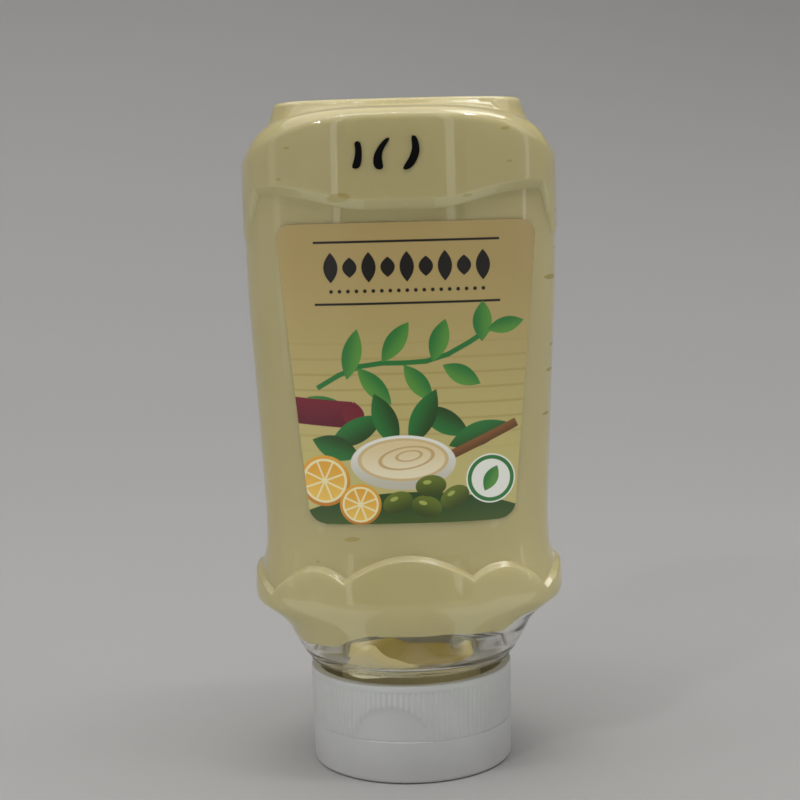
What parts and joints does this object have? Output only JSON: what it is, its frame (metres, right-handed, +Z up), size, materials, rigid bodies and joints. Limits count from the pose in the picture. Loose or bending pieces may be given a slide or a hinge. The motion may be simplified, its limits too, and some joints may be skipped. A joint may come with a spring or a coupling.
{
  "type": "mayonnaise squeeze bottle",
  "caption": "Upside-down squeeze bottle of mayonnaise: clear oval body with a scalloped belly, wavy upper band, label, and a white ribbed flip cap that it stands on.",
  "frame": {"origin": "middle of the lid's flat underside, on which the bottle stands", "axes": "+Z up along the bottle's axis, +X towards the label's right-hand side, -Y out of the front label"},
  "size_m": [0.0782, 0.0592, 0.1668],
  "materials": {
    "clear_plastic": "clear, glossy, thin blown plastic",
    "mayonnaise": "pale yellow cream, soft satin",
    "cap_plastic": "white moulded plastic, satin",
    "label_film": "printed self-adhesive film, semi-gloss"
  },
  "bodies": {
    "root": {"bottle": "clear_plastic", "mayonnaise": "mayonnaise", "neck_mayonnaise": "mayonnaise", "cap": "cap_plastic", "lid": "cap_plastic", "label_front": "label_film", "label_back": "label_film"}
  },
  "joints": []
}
